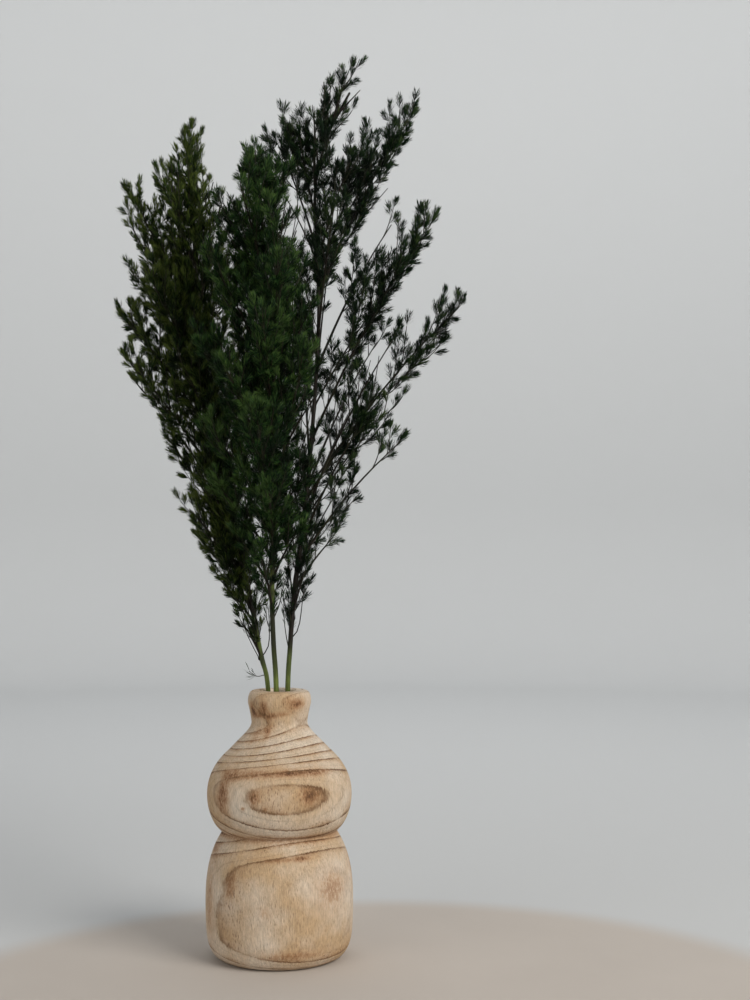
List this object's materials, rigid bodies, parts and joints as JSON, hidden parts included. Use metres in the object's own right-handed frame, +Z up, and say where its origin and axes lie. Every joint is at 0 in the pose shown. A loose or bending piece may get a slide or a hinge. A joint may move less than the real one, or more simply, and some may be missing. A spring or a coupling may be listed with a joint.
{
  "type": "vase of preserved ming fern",
  "caption": "Turned light-wood gourd vase with a narrow neck and a drilled bore, holding tall leafy stems of dark green preserved ming fern.",
  "frame": {"origin": "centre of the vase's foot, on the surface that it stands on", "axes": "+Z up along the vase's axis, -Y towards the front that the picture shows, +X to the viewer's right"},
  "size_m": [0.2918, 0.2553, 0.7323],
  "materials": {
    "paulownia_wood": "bare light wood, lightly scorched and brushed, matt",
    "preserved_fern": "dyed and preserved foliage on green stems, low sheen"
  },
  "bodies": {
    "root": {"vase": "paulownia_wood", "fern_stem_left": "preserved_fern", "fern_stem_middle": "preserved_fern", "fern_stem_right": "preserved_fern"}
  },
  "joints": []
}
